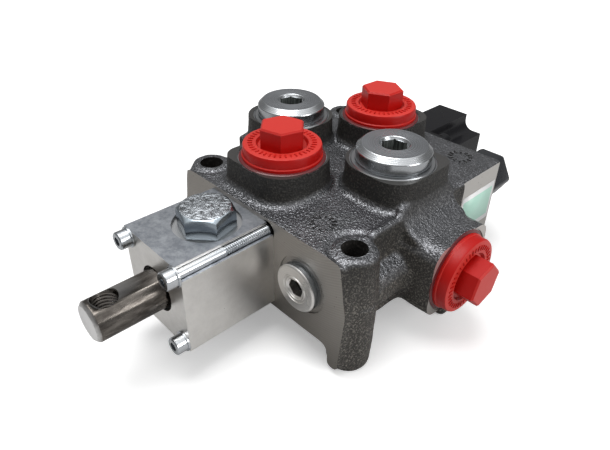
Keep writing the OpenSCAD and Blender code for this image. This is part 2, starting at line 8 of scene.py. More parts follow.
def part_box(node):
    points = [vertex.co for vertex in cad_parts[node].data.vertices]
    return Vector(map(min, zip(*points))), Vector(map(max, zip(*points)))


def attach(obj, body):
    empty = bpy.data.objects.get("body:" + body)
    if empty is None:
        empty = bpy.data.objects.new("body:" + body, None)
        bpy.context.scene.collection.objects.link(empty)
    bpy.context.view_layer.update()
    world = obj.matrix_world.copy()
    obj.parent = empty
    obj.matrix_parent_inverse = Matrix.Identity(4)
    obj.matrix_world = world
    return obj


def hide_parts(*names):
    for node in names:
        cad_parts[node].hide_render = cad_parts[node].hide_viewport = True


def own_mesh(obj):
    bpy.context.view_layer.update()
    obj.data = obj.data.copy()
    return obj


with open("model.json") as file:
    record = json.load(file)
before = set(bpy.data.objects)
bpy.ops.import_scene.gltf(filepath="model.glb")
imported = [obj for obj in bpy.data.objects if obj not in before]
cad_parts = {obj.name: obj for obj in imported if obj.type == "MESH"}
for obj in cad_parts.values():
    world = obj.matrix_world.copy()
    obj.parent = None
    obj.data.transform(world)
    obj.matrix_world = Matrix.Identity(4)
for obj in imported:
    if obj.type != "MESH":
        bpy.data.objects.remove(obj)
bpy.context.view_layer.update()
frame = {"nodes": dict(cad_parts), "record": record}
scene = bpy.context.scene
scene.view_settings.view_transform = "Standard"

# Camera. It stands above the right front corner of the valve and looks down across
# the end block, with the camera's place and turn fitted to the edges of the valve.
PITCH, YAW, ROLL = 0.6046, 0.7963, -0.0226
CAMERA_AT = (0.1676, -0.1437, 0.2037)
level = Vector((-math.sin(YAW), math.cos(YAW), 0))
forward = level * math.cos(PITCH) - Vector((0, 0, 1)) * math.sin(PITCH)
right = Vector((math.cos(YAW), math.sin(YAW), 0))
down = forward.cross(right)
across = right * math.cos(ROLL) + down * math.sin(ROLL)
below = down * math.cos(ROLL) - right * math.sin(ROLL)
camera = bpy.data.objects.new("camera", bpy.data.cameras.new("camera"))
camera.data.lens = 32.3
camera.data.sensor_width = 36
camera.data.clip_start = 0.01
camera.matrix_world = Matrix.Translation(CAMERA_AT) @ Matrix((across, -below, -forward)).transposed().to_4x4()
scene.collection.objects.link(camera)
scene.camera = camera

# Stage. A white table in a white room, lit from above by one large soft lamp and from
# the right by a smaller one. The room's mirror image is brightest overhead, as under a
# studio ceiling, and it lights the valve less than it is seen.


def add(tree, kind, inputs=None, **settings):
    """Adds a node, sets its settings, and links or fills its inputs."""
    made = tree.nodes.new(kind)
    for name, value in settings.items():
        setattr(made, name, value)
    for name, value in (inputs or {}).items():
        if isinstance(value, bpy.types.NodeSocket):
            tree.links.new(value, made.inputs[name])
        else:
            made.inputs[name].default_value = value
    return made


def math_node(tree, operation, *values):
    return add(tree, "ShaderNodeMath", dict(enumerate(values)), operation=operation).outputs[0]


def map_range(tree, value, low, high, to_low, to_high):
    return add(tree, "ShaderNodeMapRange", {
        "Value": value, "From Min": low, "From Max": high, "To Min": to_low, "To Max": to_high}).outputs[0]


def place_of(tree):
    """The point's place in the object, as a vector."""
    return add(tree, "ShaderNodeTexCoord").outputs["Object"]


def split(tree, vector):
    """The X, Y and Z of a vector, as sockets."""
    return add(tree, "ShaderNodeSeparateXYZ", {0: vector}).outputs


def normal_of(tree):
    return split(tree, add(tree, "ShaderNodeNewGeometry").outputs["Normal"])


def noise_of(tree, where, scale, detail, **more):
    """The grey value of a noise texture."""
    inputs = {"Vector": where, "Scale": scale, "Detail": detail, **more}
    return add(tree, "ShaderNodeTexNoise", inputs).outputs["Fac"]


def new_material(name):
    made = bpy.data.materials.new(name)
    made.use_nodes = True
    made.node_tree.nodes.clear()
    output = made.node_tree.nodes.new("ShaderNodeOutputMaterial")
    return made, made.node_tree, output


world = bpy.data.worlds.new("white room")
scene.world = world
world.use_nodes = True
tree = world.node_tree
tree.nodes.clear()
path = add(tree, "ShaderNodeLightPath")
direction = split(tree, add(tree, "ShaderNodeTexCoord").outputs["Generated"])
lighting = map_range(tree, direction["Z"], 0.0, 0.9, 0.16, 0.50)
mirrored = map_range(tree, direction["Z"], 0.50, 0.92, 0.22, 1.35)
strength = add(tree, "ShaderNodeMix", {0: path.outputs["Is Glossy Ray"], 2: lighting, 3: mirrored}).outputs[0]
seen = math_node(tree, "MAXIMUM", path.outputs["Is Camera Ray"], path.outputs["Is Transmission Ray"])
strength = add(tree, "ShaderNodeMix", {0: seen, 2: strength, 3: 1.0}).outputs[0]
room = add(tree, "ShaderNodeBackground", {"Color": (1, 1, 1, 1), "Strength": strength})
out = add(tree, "ShaderNodeOutputWorld", {"Surface": room.outputs[0]})

for name, size, watts, spot, aim in (
    ("ceiling lamp", 0.55, 4.6, (-0.10, -0.06, 0.85), (0, 0.03, 0.04)),
    ("side lamp", 0.4, 3.0, (0.8, 0.22, 0.42), (0, 0.03, 0.04)),
):
    lamp = bpy.data.objects.new(name, bpy.data.lights.new(name, "AREA"))
    lamp.data.size = size
    lamp.data.energy = watts
    lamp.location = spot
    lamp.rotation_euler = (Vector(spot) - Vector(aim)).to_track_quat("Z", "Y").to_euler()
    scene.collection.objects.link(lamp)

table_mesh = bpy.data.meshes.new("table")
table_mesh.from_pydata([(-5, -5, 0), (5, -5, 0), (5, 5, 0), (-5, 5, 0)], [], [(0, 1, 2, 3)])
table = bpy.data.objects.new("table", table_mesh)
scene.collection.objects.link(table)
table_white, tree, out = new_material("table_white")
path = add(tree, "ShaderNodeLightPath")
white = math_node(tree, "MULTIPLY_ADD", path.outputs["Is Camera Ray"], 0.44, 0.55)
shade = add(tree, "ShaderNodeCombineColor", {0: white, 1: white, 2: white}).outputs[0]
base = add(tree, "ShaderNodeBsdfPrincipled", {"Base Color": shade, "Roughness": 0.8, "Specular IOR Level": 0.1})
distance = add(tree, "ShaderNodeVectorMath", {0: place_of(tree)}, operation="LENGTH")
lift = map_range(tree, distance.outputs["Value"], 0.20, 0.60, 0.31, 0.9)
lift = math_node(tree, "MULTIPLY", path.outputs["Is Camera Ray"], lift)
glow = add(tree, "ShaderNodeEmission", {"Color": (1, 1, 1, 1), "Strength": lift})
both = add(tree, "ShaderNodeAddShader", {0: base.outputs[0], 1: glow.outputs[0]})
tree.links.new(both.outputs[0], out.inputs["Surface"])
table.data.materials.append(table_white)

# Casting. One block of cast iron with sand-cast skin, oiled, and with its two ends, port
# faces, side faces and spot faces milled bright. The skin is grown as one smooth mesh
# with soft hollows round the bosses, and the milled faces are cut from it afterwards.
MM = 0.001
HALF_PITCH = 51.0
COLUMN_R, COLUMN_OUT, COLUMN_BACK = 10.9, 0.9, 0.3
MOUNT_DEPTH = 104.0
MOUNT_HOLES = ((-HALF_PITCH, 0), (HALF_PITCH, 0), (-HALF_PITCH, MOUNT_DEPTH))
HOLE_R = 6.0
FRONT_Y, REAR_Y, MID_Y = -13.0, 117.0, 52.0
FOOT_Z, TOP_Z, BOSS_Z, SEAT_DEPTH = 15.0, 65.5, 80.0, 0.7
SIDE_X = 51.5
SPOOL_X, SPOOL_Z = -9.0, 41.0
CAVITY_X = 32.5
BOSS_W, SPOT_R, PLUG_SPOT_R = 43.0, 21.9, 21.3
PORTS = ((-11.5, 15.0), (-11.5, 89.0), (27.5, 52.0), (-45.5, 52.0))
BOSS_CORNERS = ((18, 17.5, 8.5, 14.5), (11, 14, 17.5, 18), (7.5, 17.5, 18, 13), (17.5, 14, 15.5, 17.5))
SIDE_PORT_Z = 38.0
SIDE_BOSS_H = 39.0
PUMP_X, TANK_X = 72.5, -67.0
STOCK = 3.0
VOXEL = 1.1


def outline(w, h, r, steps=8):
    """Points of a rectangle with round corners, of one radius or four, anticlockwise."""
    points = []
    for k, (sx, sy) in enumerate(((1, 1), (-1, 1), (-1, -1), (1, -1))):
        c = r[k] if isinstance(r, tuple) else r
        for i in range(steps + 1):
            a = math.radians(90 * (k + i / steps))
            points.append((sx * (w / 2 - c) + c * math.cos(a), sy * (h / 2 - c) + c * math.sin(a)))
    return points


def circle(r, steps=96):
    return [(r * math.cos(2 * math.pi * i / steps), r * math.sin(2 * math.pi * i / steps)) for i in range(steps)]


def prism(bm, points, low, high, place=None, top_points=None, material=0):
    """Closed prism over an outline, from low to high along Z, then moved by place."""
    place = place or Matrix()
    rings = [[bm.verts.new(place @ Vector((x, y, z))) for x, y in ps]
             for ps, z in ((points, low), (top_points or points, high))]
    n = len(points)
    faces = [bm.faces.new(rings[0][::-1]), bm.faces.new(rings[1])]
    for i in range(n):
        k = (i + 1) % n
        faces.append(bm.faces.new((rings[0][i], rings[0][k], rings[1][k], rings[1][i])))
    for face in faces:
        face.material_index = material


def lathe(bm, profile, place=None, steps=96, material=0):
    """Turns a profile of (radius, height) points, whose ends lie on the axis or meet."""
    place = place or Matrix()
    rings = []
    for r, z in profile:
        if r < 1e-6:
            rings.append([bm.verts.new(place @ Vector((0, 0, z)))] * steps)
        else:
            rings.append([bm.verts.new(place @ Vector((x, y, z))) for x, y in circle(r, steps)])
    closed = profile[0][0] > 1e-6
    for low, high in zip(rings, rings[1:] + (rings[:1] if closed else [])):
        for i in range(steps):
            corner = (low[i], low[(i + 1) % steps], high[(i + 1) % steps], high[i])
            kept = [v for k, v in enumerate(corner) if v not in corner[:k]]
            if len(kept) > 2:
                bm.faces.new(kept).material_index = material


ALONG_X = Matrix.Rotation(math.radians(90), 4, "Y")
ALONG_Y = Matrix.Rotation(math.radians(-90), 4, "X")


def at(x, y, z, turn=None):
    return Matrix.Translation((x, y, z)) @ (turn or Matrix())


def mesh_object(name, bm, materials=()):
    """Makes an object of a bmesh, with its faces pointing outwards."""
    bmesh.ops.recalc_face_normals(bm, faces=bm.faces)
    mesh = bpy.data.meshes.new(name)
    bm.to_mesh(mesh)
    bm.free()
    for material in materials:
        mesh.materials.append(material)
    made = bpy.data.objects.new(name, mesh)
    scene.collection.objects.link(made)
    return made


def settle(obj):
    """Replaces an object's mesh by what its modifiers make of it."""
    bpy.context.view_layer.update()
    evaluated = obj.evaluated_get(bpy.context.evaluated_depsgraph_get())
    mesh = bpy.data.meshes.new_from_object(evaluated)
    obj.modifiers.clear()
    old = obj.data
    obj.data = mesh
    bpy.data.meshes.remove(old)
    return obj


def smooth(obj, angle):
    """Shades a mesh smooth, but for the edges that are sharper than an angle."""
    for face in obj.data.polygons:
        face.use_smooth = True
    obj.data.set_sharp_from_angle(angle=math.radians(angle))


def cut(obj, cutter):
    """Cuts one closed mesh away from another, whose new faces take the cutter's material."""
    modifier = obj.modifiers.new("cut", "BOOLEAN")
    modifier.operation = "DIFFERENCE"
    modifier.solver = "MANIFOLD"
    modifier.material_mode = "TRANSFER"
    modifier.object = cutter
    settle(obj)
    bpy.data.objects.remove(cutter)


def face_map(obj, centre, u_axis, v_axis, faces=None):
    """Writes a UV map that holds each point's distance from a centre, in metres."""
    layer = obj.data.uv_layers.get("from_centre") or obj.data.uv_layers.new(name="from_centre")
    centre, u_axis, v_axis = Vector(centre), Vector(u_axis), Vector(v_axis)
    for face in obj.data.polygons if faces is None else faces:
        for loop in face.loop_indices:
            offset = obj.data.vertices[obj.data.loops[loop].vertex_index].co - centre
            layer.data[loop].uv = (offset.dot(u_axis), offset.dot(v_axis))


def shader_group(name, inputs, outputs):
    """Starts a shader node group with named inputs and outputs."""
    group = bpy.data.node_groups.new(name, "ShaderNodeTree")
    for socket, kind, value in inputs:
        made = group.interface.new_socket(socket, in_out="INPUT", socket_type="NodeSocket" + kind)
        if value is not None:
            made.default_value = value
    for socket, kind in outputs:
        group.interface.new_socket(socket, in_out="OUTPUT", socket_type="NodeSocket" + kind)
    return group, group.nodes.new("NodeGroupInput"), group.nodes.new("NodeGroupOutput")


# Lines that a milling head or a lathe leaves: rings about a centre, a little uneven
ring_marks, given, result = shader_group(
    "ring_marks", [("Vector", "Vector", None), ("Pitch", "Float", 0.0008), ("Unevenness", "Float", 0.3)],
    [("Height", "Float"), ("Shade", "Float")])
radius = add(ring_marks, "ShaderNodeVectorMath", {0: given.outputs["Vector"]}, operation="LENGTH").outputs["Value"]
turns = math_node(ring_marks, "DIVIDE", radius, given.outputs["Pitch"])
wander = add(ring_marks, "ShaderNodeTexNoise", {"W": turns, "Scale": 1.7, "Detail": 3.0}, noise_dimensions="1D")
patch = noise_of(ring_marks, given.outputs["Vector"], 160.0, 2.0)
wave = math_node(ring_marks, "SINE", math_node(ring_marks, "MULTIPLY", turns, 2 * math.pi))
depth = math_node(ring_marks, "MULTIPLY", wave, math_node(ring_marks, "MULTIPLY", patch, 0.6))
ridge = math_node(ring_marks, "MULTIPLY_ADD", wander.outputs["Fac"], given.outputs["Unevenness"], depth)
ring_marks.links.new(ridge, result.inputs["Height"])
ring_marks.links.new(math_node(ring_marks, "MULTIPLY_ADD", ridge, 0.35, 0.5), result.inputs["Shade"])

# Grain of a rough surface: fine grit, orange peel and larger blotches
grain, given, result = shader_group(
    "grain", [("Vector", "Vector", None), ("Size", "Float", 0.0008)],
    [("Height", "Float"), ("Specks", "Float"), ("Blotches", "Float")])
cell = math_node(grain, "DIVIDE", 1.0, given.outputs["Size"])
where = given.outputs["Vector"]
peel = noise_of(grain, where, math_node(grain, "MULTIPLY", cell, 0.5), 2.0)
grit = noise_of(grain, where, cell, 3.0, Roughness=0.55)
blotch = noise_of(grain, where, math_node(grain, "MULTIPLY", cell, 0.04), 3.0)
grain.links.new(math_node(grain, "MULTIPLY_ADD", grit, 0.45, peel), result.inputs["Height"])
grain.links.new(map_range(grain, grit, 0.50, 0.68, 0.0, 1.0), result.inputs["Specks"])
grain.links.new(blotch, result.inputs["Blotches"])


def mix_colours(tree, factor, a, b):
    """Mixes two colours, each given as three numbers or as a socket."""
    mixer = add(tree, "ShaderNodeMix", {0: factor}, data_type="RGBA")
    for index, value in ((6, a), (7, b)):
        if isinstance(value, bpy.types.NodeSocket):
            tree.links.new(value, mixer.inputs[index])
        else:
            mixer.inputs[index].default_value = (*value, 1)
    return mixer.outputs[2]


def finish_material(tree, out, colour, roughness, height=None, depth=0.0001, **sockets):
    """Adds the Principled BSDF of a material, with its bump."""
    if not isinstance(colour, bpy.types.NodeSocket):
        colour = (*colour, 1)
    inputs = {"Base Color": colour, "Roughness": roughness}
    if height is not None:
        inputs["Normal"] = add(tree, "ShaderNodeBump", {"Height": height, "Distance": depth}).outputs[0]
    inputs.update({name.replace("_", " "): value for name, value in sockets.items()})
    shader = add(tree, "ShaderNodeBsdfPrincipled", inputs)
    tree.links.new(shader.outputs[0], out.inputs["Surface"])


def place_grain(tree, size):
    made = add(tree, "ShaderNodeGroup", node_tree=grain)
    tree.links.new(place_of(tree), made.inputs["Vector"])
    made.inputs["Size"].default_value = size
    return made


def place_rings(tree, pitch, unevenness):
    where = add(tree, "ShaderNodeUVMap", uv_map="from_centre").outputs[0]
    made = add(tree, "ShaderNodeGroup", node_tree=ring_marks)
    tree.links.new(where, made.inputs["Vector"])
    made.inputs["Pitch"].default_value = pitch
    made.inputs["Unevenness"].default_value = unevenness
    return made


cast_skin, tree, out = new_material("cast_skin")
skin = place_grain(tree, 0.0008)
upward = map_range(tree, normal_of(tree)["Z"], 0.25, 0.75, 0.0, 1.0)
height = split(tree, place_of(tree))["Z"]
# The skin's colour darkens with height, from the body up onto the bosses
darker_higher_up = map_range(tree, height, 0.040, 0.070, 0.0, 1.0)
grain_colour = mix_colours(tree, darker_higher_up, (0.23, 0.212, 0.185), (0.060, 0.056, 0.048))
side_colour = mix_colours(tree, darker_higher_up, (0.036, 0.033, 0.029), (0.012, 0.011, 0.010))
side_colour = mix_colours(tree, skin.outputs["Specks"], side_colour, grain_colour)
top_colour = mix_colours(tree, skin.outputs["Specks"], (0.105, 0.107, 0.114), (0.29, 0.295, 0.31))
colour = mix_colours(tree, upward, side_colour, top_colour)
rough = map_range(tree, upward, 0.0, 1.0, 0.50, 0.16)
rough = math_node(tree, "MULTIPLY_ADD", skin.outputs["Blotches"], 0.14, rough)
bare = map_range(tree, upward, 0.0, 1.0, 0.0, 0.8)
finish_material(tree, out, colour, rough, skin.outputs["Height"], 0.00048, Metallic=bare)


def pitted(tree, colour, pit_colour, spacing, size):
    """Puts small round pits of another colour into a finish, and returns it."""
    cells = add(tree, "ShaderNodeTexVoronoi", {"Vector": place_of(tree), "Scale": 1 / spacing})
    pits = map_range(tree, cells.outputs["Distance"], size / spacing, 1.4 * size / spacing, 1.0, 0.0)
    return mix_colours(tree, pits, colour, pit_colour)


milled_iron, tree, out = new_material("milled_iron")
marks = place_rings(tree, 0.0013, 0.5)
skin = place_grain(tree, 0.002)
colour = mix_colours(tree, marks.outputs["Shade"], (0.25, 0.232, 0.21), (0.50, 0.47, 0.435))
# Painted light: milled faces that look sideways along X get a lighter colour, standing in for the stronger light they
# catch from the side
painted_light_on_sides = math_node(tree, "ABSOLUTE", normal_of(tree)["X"])
colour = mix_colours(tree, painted_light_on_sides, colour, (0.62, 0.60, 0.57))
# Painted shade: the milled faces darken towards the bottom along a ragged line, standing in for the shaded table that
# they reflect
height = split(tree, place_of(tree))["Z"]
edge = math_node(tree, "MULTIPLY_ADD", skin.outputs["Blotches"], 0.02, height)
painted_reflected_shade = map_range(tree, edge, 0.018, 0.060, 0.85, 0.0)
colour = mix_colours(tree, painted_reflected_shade, colour, (0.15, 0.138, 0.123))
colour = pitted(tree, colour, (0.05, 0.045, 0.04), 0.0036, 0.00017)
rough = map_range(tree, skin.outputs["Blotches"], 0.3, 0.7, 0.40, 0.56)
finish_material(tree, out, colour, rough, marks.outputs["Height"], 0.00005, Metallic=0.8)

faced_iron, tree, out = new_material("faced_iron")
marks = place_rings(tree, 0.0006, 0.8)
skin = place_grain(tree, 0.002)
colour = mix_colours(tree, marks.outputs["Shade"], (0.045, 0.044, 0.043), (0.10, 0.098, 0.095))
rough = map_range(tree, skin.outputs["Blotches"], 0.3, 0.7, 0.35, 0.5)
finish_material(tree, out, colour, rough, marks.outputs["Height"], 0.00003, Metallic=0.7)

seat_iron, tree, out = new_material("seat_iron")
marks = place_rings(tree, 0.0005, 0.5)
colour = mix_colours(tree, marks.outputs["Shade"], (0.30, 0.31, 0.32), (0.46, 0.47, 0.48))
finish_material(tree, out, colour, 0.3, marks.outputs["Height"], 0.00002, Metallic=0.95)

bored_iron, tree, out = new_material("bored_iron")
skin = place_grain(tree, 0.0012)
colour = mix_colours(tree, skin.outputs["Specks"], (0.02, 0.018, 0.016), (0.06, 0.055, 0.05))
finish_material(tree, out, colour, 0.6, skin.outputs["Height"], 0.0002, Metallic=0.3)

blank = bmesh.new()
prism(blank, outline(2 * SIDE_X, REAR_Y - FRONT_Y + 2 * STOCK, 0.5), FOOT_Z, TOP_Z, at(0, MID_Y, 0))
# Columns, drafted both ways from the parting line, with a round foot and a raised rim
PARTING_Z = SIDE_PORT_Z
for x, y in MOUNT_HOLES:
    lathe(blank, [(0, -2), (7.9, -2), (9.7, -0.2), (10.5, 2.4), (COLUMN_R, 9), (COLUMN_R + 0.4, PARTING_Z - 1.2),
                  (COLUMN_R + 1.3, PARTING_Z - 0.8), (COLUMN_R + 1.3, PARTING_Z + 0.8),
                  (COLUMN_R + 0.1, PARTING_Z + 1.2),
                  (COLUMN_R - 0.6, TOP_Z - 1.6), (COLUMN_R - 1.6, TOP_Z + 0.6), (0, TOP_Z + 0.6)],
          at(x + math.copysign(COLUMN_OUT, x), y + COLUMN_BACK, 0), 64)
# Webs from the front columns to the milled front, widest at the parting line
for side in (-1, 1):
    webs = []
    for wide in (5.4, 8.4, 3.4):
        web = [(HALF_PITCH + wide, FRONT_Y - STOCK), (HALF_PITCH + wide, FRONT_Y), (HALF_PITCH + COLUMN_R * 0.92, -3),
               (HALF_PITCH - 8.5, -4), (HALF_PITCH - 0.2, FRONT_Y), (HALF_PITCH - 0.2, FRONT_Y - STOCK)]
        webs.append([(side * x, y) for x, y in web])
    prism(blank, webs[0], 3.4, PARTING_Z, None, webs[1])
    prism(blank, webs[1], PARTING_Z, TOP_Z - 0.5, None, webs[2])
    hollow = [(HALF_PITCH - 4.5, -FOOT_Z - 1), (HALF_PITCH - 2, -FOOT_Z + 0.8),
              (HALF_PITCH - 0.6, -FOOT_Z + 3.5), (HALF_PITCH + 1, -FOOT_Z + 3.5), (HALF_PITCH + 1, -FOOT_Z - 1)]
    prism(blank, [(side * x, z) for x, z in hollow], FRONT_Y - STOCK, 2, ALONG_Y)
# Port bosses, each on a spread foot
for (x, y), corners in zip(PORTS, BOSS_CORNERS):
    prism(blank, outline(BOSS_W + 1.6, BOSS_W + 1.6, corners), TOP_Z - 3, BOSS_Z + STOCK, at(x, y, 0),
          outline(BOSS_W, BOSS_W, corners))
    prism(blank, outline(BOSS_W + 8, BOSS_W + 8, tuple(c + 3 for c in corners)), TOP_Z - 2, TOP_Z + 4.5, at(x, y, 0),
          outline(BOSS_W - 1, BOSS_W - 1, corners))
# Side boss on its pad, and the small foot below it
to_right = at(SIDE_X - 4, MID_Y, SIDE_PORT_Z, ALONG_X)
prism(blank, outline(SIDE_BOSS_H, BOSS_W, 8), 0, PUMP_X - SIDE_X + 4 + STOCK, to_right)
prism(blank, outline(SIDE_BOSS_H + 9, BOSS_W + 8, 9), 0, 8, to_right, outline(SIDE_BOSS_H - 1, BOSS_W - 1, 7))
prism(blank, circle(4.6, 32), 0, 27, at(PUMP_X - 9, MID_Y + 9, 0), circle(5.2, 32))
# Swellings over the check cavity and the relief bore, and the block of the tank port
lathe(blank, [(0, -34), (7, -33), (11.8, -28.5), (11.8, 20), (0, 20)], at(48.4, 40, SIDE_PORT_Z - 0.8, ALONG_Y), 48)
lathe(blank, [(0, -12), (4, -11), (5.5, -8), (5.5, 10), (0, 10)], at(51, 40, SIDE_PORT_Z - 12, ALONG_Y), 32)
# Soft wedge from the side boss up to the port boss, and the ridge between that boss and the column
wedge = [(48, -56), (61, -56), (61, -57.8), (55.5, -60.2), (52, -64.5), (49.8, -70), (48, -70)]
prism(blank, wedge, MID_Y - 20, MID_Y + 20, ALONG_Y)
prism(blank, [(48.6, 9), (51.5, 9), (51.5, 32), (48.6, 32)], TOP_Z - 1, TOP_Z + 1.5)
prism(blank, outline(20, BOSS_W - 0.4, 3), FOOT_Z + 3, TOP_Z - 0.5, at(TANK_X + 10 - STOCK, MID_Y, 0))
# Raised pad for the label
prism(blank, outline(8, 50, 2), FOOT_Z + 4, TOP_Z - 1.2, at(SIDE_X - 3, 105, 0))
cast_body = mesh_object("cast_body", blank, [cast_skin])
remesh = cast_body.modifiers.new("skin", "REMESH")
remesh.mode = "VOXEL"
remesh.voxel_size = VOXEL
soften = cast_body.modifiers.new("soften", "SMOOTH")
soften.factor = 0.5
soften.iterations = 14
settle(cast_body)
# Unevenness of the sand mould, and a soft hollow that sets each mounting hole's rim off
# from the skin around it, deepest in a groove close to the rim
HOLLOW_R, HOLLOW_DEEP, GROOVE_R, GROOVE_DEEP = 14, 0.7, 11.6, 0.8
normals = [vertex.normal.copy() for vertex in cast_body.data.vertices]
for vertex, normal in zip(cast_body.data.vertices, normals):
    away = noise.noise(vertex.co / 9) * 0.24 + noise.noise(vertex.co / 2.6) * 0.09
    vertex.co += normal * away
    for x, y in MOUNT_HOLES:
        d = math.hypot(vertex.co.x - x - math.copysign(COLUMN_OUT, x), vertex.co.y - y - COLUMN_BACK)
        if d < 16 and vertex.co.z > TOP_Z - 6:
            depth = HOLLOW_DEEP * max(0, min(1, (HOLLOW_R - d) / 4))
            depth += GROOVE_DEEP * math.exp(-((d - GROOVE_R) / 1.2) ** 2)
            vertex.co.z -= depth * min(1, (vertex.co.z - TOP_Z + 6) / 5)

far = 40
for w, h, low, high, x, y, finish in (
    (6, 42, FOOT_Z + 2, TOP_Z + 3, SIDE_X + 3, 103, 1),
    (260, far, -far, 120, 0, FRONT_Y - far / 2, 1), (260, far, -far, 120, 0, REAR_Y + far / 2, 1),
    (far, 60, 8, 64, PUMP_X + far / 2, MID_Y, 1), (far, 60, 8, 90, TANK_X - far / 2, MID_Y, 1),
    (240, 160, BOSS_Z, BOSS_Z + far, 0, MID_Y, 2), (240, 200, -far, 0, 0, MID_Y, 1),
):
    slab = bmesh.new()
    prism(slab, outline(w, h, 0.1, 1), low, high, at(x, y, 0), material=finish)
    cut(cast_body, mesh_object("slab", slab, [cast_skin, milled_iron, faced_iron]))
bores = bmesh.new()
for x, y in MOUNT_HOLES:
    lathe(bores, [(0, -3), (HOLE_R, -3), (HOLE_R, TOP_Z + 5), (0, TOP_Z + 5)], at(x, y, 0), 64, 3)
port_profile = [(0, 3), (SPOT_R, 3), (SPOT_R, -SEAT_DEPTH), (12.5, -SEAT_DEPTH), (12.5, -19), (0, -19)]
screw_notch = [(0, -3), (4.7, -3), (4.7, 0.3), (3.3, 3), (2.6, 6), (0, 6)]
lathe(bores, screw_notch, at(SPOOL_X + 18.5, FRONT_Y, SPOOL_Z + 18.5, ALONG_Y), 48, 3)
# The two ports with steel plugs have a raised ring on the spot face
ring_profile = [(0, 3), (PLUG_SPOT_R, 3), (PLUG_SPOT_R, -SEAT_DEPTH), (20.7, -SEAT_DEPTH), (20.2, -0.08),
                (18.5, -0.08), (18.0, -SEAT_DEPTH), (12.5, -SEAT_DEPTH), (12.5, -19), (0, -19)]
for index, (x, y) in enumerate(PORTS):
    lathe(bores, ring_profile if index > 1 else port_profile, at(x, y, BOSS_Z), steps=128, material=4)
lathe(bores, port_profile, at(PUMP_X, MID_Y, SIDE_PORT_Z, ALONG_X), material=1)
lathe(bores, port_profile, at(TANK_X, MID_Y, SIDE_PORT_Z, ALONG_X @ Matrix.Rotation(math.pi, 4, "X")), material=1)
lathe(bores, [(0, -3), (13, -3), (13, 5), (9.53, 5), (9.53, 125), (13, 125), (13, 133), (0, 133)],
      at(SPOOL_X, FRONT_Y, SPOOL_Z, ALONG_Y), material=3)
lathe(bores, [(0, -3), (14.5, -3), (14.5, SEAT_DEPTH), (10, SEAT_DEPTH), (10, 53), (6, 53), (6, 77), (10, 77),
              (10, 127.5), (12.5, 127.5), (12.5, 133), (0, 133)], at(CAVITY_X, FRONT_Y, SPOOL_Z, ALONG_Y), material=1)
cut(cast_body, mesh_object("bores", bores, [cast_skin, milled_iron, faced_iron, bored_iron, seat_iron]))
cast_body.data.transform(Matrix.Scale(MM, 4))


def faces_of(obj, material):
    index = obj.data.materials.find(material.name)
    return [face for face in obj.data.polygons if face.material_index == index]


def nearest_port(face):
    return min(PORTS, key=lambda p: (p[0] * MM - face.center.x) ** 2 + (p[1] * MM - face.center.y) ** 2)


for face in faces_of(cast_body, faced_iron) + faces_of(cast_body, seat_iron):
    x, y = nearest_port(face)
    face_map(cast_body, (x * MM, y * MM, 0), (1, 0, 0), (0, 1, 0), [face])
for face in faces_of(cast_body, milled_iron):
    if abs(face.normal.x) > 0.7:
        beside = MID_Y if abs(face.center.x) > SIDE_X * MM + 0.002 else 150
        face_map(cast_body, (0, beside * MM, SIDE_PORT_Z * MM), (0, 1, 0), (0, 0, 1), [face])
    else:
        face_map(cast_body, (0.028, 0, 0.110), (1, 0, 0), (0, 0, 1), [face])
smooth(cast_body, 42)
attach(cast_body, "housing")
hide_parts("valve_body")

# Finish of the turned and milled pieces. Each keeps the shape of its solid, with its
# loose triangles joined, its flat faces whole and its sharp edges broken as on a real part.


def stand_for(made, node):
    """Makes a piece ride and move as a CAD node does, in its place."""
    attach(made, next(b for b, members in frame["record"]["behaviour"]["bodies"].items() if node in members))
    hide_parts(node)
    return made


def dressed(node, name, material, break_edge=0.25, angle=30, segments=2):
    """Copies a CAD node under a new name, breaks its edges and makes it stand for the node."""
    made = bpy.data.objects.new(name, frame["nodes"][node].data.copy())
    scene.collection.objects.link(made)
    bm = bmesh.new()
    bm.from_mesh(made.data)
    bmesh.ops.remove_doubles(bm, verts=bm.verts, dist=2e-6)
    bmesh.ops.dissolve_limit(bm, angle_limit=math.radians(0.4), verts=bm.verts, edges=bm.edges)
    bm.to_mesh(made.data)
    bm.free()
    made.data.materials.clear()
    made.data.materials.append(material)
    for layer in list(made.data.uv_layers):
        made.data.uv_layers.remove(layer)
    for name_of in ("custom_normal", "sharp_edge", "sharp_face"):
        if name_of in made.data.attributes:
            made.data.attributes.remove(made.data.attributes[name_of])
    for face in made.data.polygons:
        face.use_smooth = True
    if break_edge:
        bevel = made.modifiers.new("edges", "BEVEL")
        bevel.width = break_edge * MM
        bevel.segments = segments
        bevel.limit_method = "ANGLE"
        bevel.angle_limit = math.radians(angle)
        bevel.harden_normals = True
        settle(made)
    return stand_for(made, node)


def plain_metal(name, dark, light, rough, grain_size=0.0015, depth=0.00004, metallic=1.0):
    """Metal with blotches of shade, fine grain and uneven gloss."""
    made, tree, out = new_material(name)
    skin = place_grain(tree, grain_size)
    shade = map_range(tree, skin.outputs["Blotches"], 0.3, 0.7, 0.0, 1.0)
    colour = mix_colours(tree, shade, dark, light)
    gloss = map_range(tree, skin.outputs["Blotches"], 0.3, 0.7, rough + 0.06, rough - 0.05)
    finish_material(tree, out, colour, gloss, skin.outputs["Height"], depth, Metallic=metallic)
    return made


def turned_metal(name, dark, light, rough, pitch=0.0006, unevenness=0.6, depth=0.00002, metallic=1.0):
    """Metal with the rings of a lathe about its own centre."""
    made, tree, out = new_material(name)
    marks = place_rings(tree, pitch, unevenness)
    skin = place_grain(tree, 0.002)
    colour = mix_colours(tree, marks.outputs["Shade"], dark, light)
    gloss = map_range(tree, skin.outputs["Blotches"], 0.3, 0.7, rough + 0.06, rough - 0.05)
    finish_material(tree, out, colour, gloss, marks.outputs["Height"], depth, Metallic=metallic)
    return made


